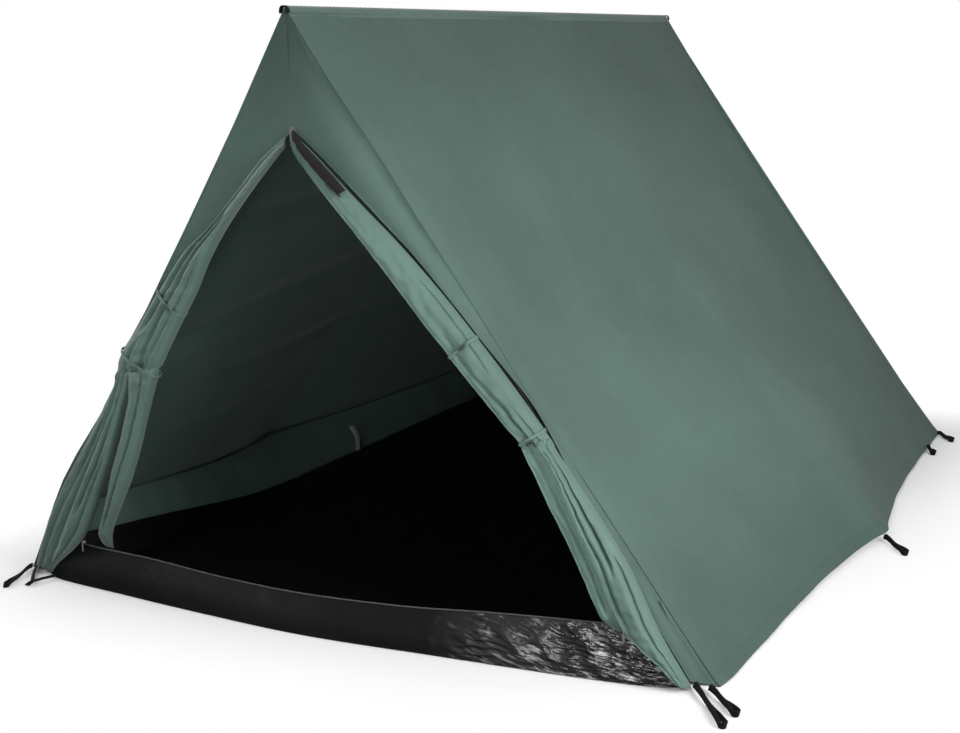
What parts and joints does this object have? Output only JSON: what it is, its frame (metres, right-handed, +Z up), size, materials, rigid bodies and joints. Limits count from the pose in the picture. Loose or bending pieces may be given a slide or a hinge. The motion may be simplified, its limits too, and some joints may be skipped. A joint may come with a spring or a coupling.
{
  "type": "ridge tent",
  "caption": "Self-supporting A-frame ridge tent with a rolled-back front door, a raised sill and webbing peg loops; its two sides fold together about the ridge pole.",
  "frame": {"origin": "on the ground at the middle of the floor, halfway between the front and rear walls", "axes": "+Z up, +Y from the door to the rear along the ridge, +X to the right when facing the rear"},
  "size_m": [2.1472, 2.2376, 1.3445],
  "materials": {
    "canopy_cloth": "matt coated woven cloth",
    "wall_cloth": "matt coated woven cloth",
    "seam_tape": "folded and stitched cloth binding",
    "ground_pe": "woven polyethylene, slightly glossy and creased",
    "zip_tape": "zip tape with moulded teeth",
    "webbing": "flat woven webbing",
    "tie_cloth": "narrow cloth strap",
    "toggle_plastic": "smooth moulded plastic",
    "zip_metal": "bright die-cast metal",
    "inner_tape": "pale cotton tape",
    "fitting_plastic": "moulded plastic with a fine grain",
    "spindle_steel": "zinc plated steel",
    "pole_steel": "powder coated steel tube"
  },
  "bodies": {
    "ground": {"groundsheet": "ground_pe", "door_sill": "ground_pe", "sill_zip_tape": "zip_tape"},
    "ridge": {"ridge_pole_front": "pole_steel", "ridge_pole_middle": "pole_steel", "ridge_pole_rear": "pole_steel", "ridge_spindle_front": "spindle_steel", "ridge_spindle_rear": "spindle_steel", "ridge_seam": "seam_tape", "apex_tab_front": "webbing", "apex_tab_rear": "webbing", "front_wall": "wall_cloth", "rear_wall": "wall_cloth", "door_slider": "zip_metal"},
    "left_side": {"roof_left": "canopy_cloth", "leg_eye_front_left": "fitting_plastic", "leg_upper_front_left": "pole_steel", "leg_lower_front_left": "pole_steel", "leg_foot_front_left": "fitting_plastic", "leg_eye_rear_left": "fitting_plastic", "leg_upper_rear_left": "pole_steel", "leg_lower_rear_left": "pole_steel", "leg_foot_rear_left": "fitting_plastic", "inner_tab": "inner_tape"},
    "right_side": {"roof_right": "canopy_cloth", "leg_eye_front_right": "fitting_plastic", "leg_upper_front_right": "pole_steel", "leg_lower_front_right": "pole_steel", "leg_foot_front_right": "fitting_plastic", "leg_eye_rear_right": "fitting_plastic", "leg_upper_rear_right": "pole_steel", "leg_lower_rear_right": "pole_steel", "leg_foot_rear_right": "fitting_plastic"},
    "roll_left": {"door_roll_left": "canopy_cloth", "tie_band_upper_left": "tie_cloth", "tie_band_lower_left": "tie_cloth"},
    "toggle_upper_left": {"tie_toggle_upper_left": "toggle_plastic"},
    "toggle_lower_left": {"tie_toggle_lower_left": "toggle_plastic"},
    "roll_right": {"door_roll_right": "canopy_cloth", "tie_band_upper_right": "tie_cloth", "tie_band_lower_right": "tie_cloth"},
    "toggle_upper_right": {"tie_toggle_upper_right": "toggle_plastic"},
    "toggle_lower_right": {"tie_toggle_lower_right": "toggle_plastic"},
    "slider_left": {"sill_slider_left": "zip_metal"},
    "puller_left": {"sill_puller_left": "zip_metal"},
    "slider_right": {"sill_slider_right": "zip_metal"},
    "puller_right": {"sill_puller_right": "zip_metal"},
    "door_puller": {"door_puller": "zip_metal"},
    "loop_front_corner_left": {"peg_loop_front_corner_left": "webbing"},
    "loop_front_corner_right": {"peg_loop_front_corner_right": "webbing"},
    "loop_front_floor_left": {"peg_loop_front_floor_left": "webbing"},
    "loop_front_floor_right": {"peg_loop_front_floor_right": "webbing"},
    "loop_middle_left": {"peg_loop_middle_left": "webbing"},
    "loop_middle_right": {"peg_loop_middle_right": "webbing"},
    "loop_rear_corner_left": {"peg_loop_rear_corner_left": "webbing"},
    "loop_rear_corner_right": {"peg_loop_rear_corner_right": "webbing"},
    "loop_rear_floor_left": {"peg_loop_rear_floor_left": "webbing"},
    "loop_rear_floor_right": {"peg_loop_rear_floor_right": "webbing"}
  },
  "joints": [
    {"name": "ridge_lift", "type": "slide", "parent": "ground", "child": "ridge", "axis": [0, 0, 1], "range_m": [0, 0.2407], "deforming": ["groundsheet", "door_sill", "sill_zip_tape", "ridge_seam", "front_wall", "rear_wall", "door_roll_left", "door_roll_right"]},
    {"name": "left_side_fold", "type": "hinge", "parent": "ridge", "child": "left_side", "pos_m": [0, 0, 1.292], "axis": [0, 1, 0], "range_deg": [-23.91, 0]},
    {"name": "right_side_fold", "type": "hinge", "parent": "ridge", "child": "right_side", "pos_m": [0, 0, 1.292], "axis": [0, 1, 0], "range_deg": [0, 23.91]},
    {"name": "door_roll_left_swing", "type": "hinge", "parent": "left_side", "child": "roll_left", "pos_m": [-0.444, -1.036, 0.67], "axis": [0.5576, 0, 0.8301], "range_deg": [-35, 0]},
    {"name": "tie_toggle_upper_left_turn", "type": "hinge", "parent": "roll_left", "child": "toggle_upper_left", "pos_m": [-0.345, -1.093, 0.708], "axis": [0, 1, 0], "range_deg": [-90, 0]},
    {"name": "tie_toggle_lower_left_turn", "type": "hinge", "parent": "roll_left", "child": "toggle_lower_left", "pos_m": [-0.458, -1.093, 0.556], "axis": [0, 1, 0], "range_deg": [-90, 0]},
    {"name": "door_roll_right_swing", "type": "hinge", "parent": "right_side", "child": "roll_right", "pos_m": [0.444, -1.036, 0.67], "axis": [0.5576, 0, -0.8301], "range_deg": [-35, 0]},
    {"name": "tie_toggle_upper_right_turn", "type": "hinge", "parent": "roll_right", "child": "toggle_upper_right", "pos_m": [0.41, -1.085, 0.66], "axis": [0, 1, 0], "range_deg": [-90, 0]},
    {"name": "tie_toggle_lower_right_turn", "type": "hinge", "parent": "roll_right", "child": "toggle_lower_right", "pos_m": [0.557, -1.085, 0.476], "axis": [0, 1, 0], "range_deg": [-90, 0]},
    {"name": "sill_zip_left_slide", "type": "slide", "parent": "ground", "child": "slider_left", "axis": [-0.998, 0.0384, 0.0499], "range_m": [-0.7, 0]},
    {"name": "sill_puller_left_swing", "type": "hinge", "parent": "slider_left", "child": "puller_left", "pos_m": [-0.741, -1.079, 0.10955], "axis": [1, 0, 0], "range_deg": [-80, 0]},
    {"name": "sill_zip_right_slide", "type": "slide", "parent": "ground", "child": "slider_right", "axis": [0.998, 0.0384, 0.0499], "range_m": [-0.7, 0]},
    {"name": "sill_puller_right_swing", "type": "hinge", "parent": "slider_right", "child": "puller_right", "pos_m": [0.741, -1.079, 0.10955], "axis": [1, 0, 0], "range_deg": [-80, 0]},
    {"name": "door_puller_swing", "type": "hinge", "parent": "ridge", "child": "door_puller", "pos_m": [0, -1.0495, 1.094], "axis": [1, 0, 0], "range_deg": [-85, 0]},
    {"name": "peg_loop_front_corner_left_swing", "type": "hinge", "parent": "left_side", "child": "loop_front_corner_left", "pos_m": [-0.911, -1.05, 0.005], "axis": [0.9462, 0.3235, 0], "range_deg": [-50, 0]},
    {"name": "peg_loop_front_corner_right_swing", "type": "hinge", "parent": "right_side", "child": "loop_front_corner_right", "pos_m": [0.912, -1.05, 0.005], "axis": [0.7021, 0.712, 0], "range_deg": [-50, 0]},
    {"name": "peg_loop_front_floor_left_swing", "type": "hinge", "parent": "left_side", "child": "loop_front_floor_left", "pos_m": [-0.847, -1.064, 0.005], "axis": [0.9501, 0.312, 0], "range_deg": [-50, 0]},
    {"name": "peg_loop_front_floor_right_swing", "type": "hinge", "parent": "right_side", "child": "loop_front_floor_right", "pos_m": [0.882, -1.048, 0.005], "axis": [0.7993, 0.601, 0], "range_deg": [-50, 0]},
    {"name": "peg_loop_middle_left_swing", "type": "hinge", "parent": "left_side", "child": "loop_middle_left", "pos_m": [-0.997, -0.03, 0.005], "axis": [0.8061, -0.5917, 0], "range_deg": [-50, 0]},
    {"name": "peg_loop_middle_right_swing", "type": "hinge", "parent": "right_side", "child": "loop_middle_right", "pos_m": [0.997, -0.03, 0.005], "axis": [0.8061, 0.5917, 0], "range_deg": [-50, 0]},
    {"name": "peg_loop_rear_corner_left_swing", "type": "hinge", "parent": "left_side", "child": "loop_rear_corner_left", "pos_m": [-0.911, 1.018, 0.005], "axis": [0.7419, -0.6705, 0], "range_deg": [-50, 0]},
    {"name": "peg_loop_rear_corner_right_swing", "type": "hinge", "parent": "right_side", "child": "loop_rear_corner_right", "pos_m": [0.911, 1.018, 0.005], "axis": [0.7419, 0.6705, 0], "range_deg": [-50, 0]},
    {"name": "peg_loop_rear_floor_left_swing", "type": "hinge", "parent": "left_side", "child": "loop_rear_floor_left", "pos_m": [-0.918, 0.838, 0.005], "axis": [0.8944, -0.4472, 0], "range_deg": [-50, 0]},
    {"name": "peg_loop_rear_floor_right_swing", "type": "hinge", "parent": "right_side", "child": "loop_rear_floor_right", "pos_m": [0.918, 0.838, 0.005], "axis": [0.8944, 0.4472, 0], "range_deg": [-50, 0]}
  ],
  "couplings": [
    {"joint": "left_side_fold", "follows": "ridge_lift", "rad_per_m": -1.7321},
    {"joint": "right_side_fold", "follows": "ridge_lift", "rad_per_m": 1.7321}
  ]
}
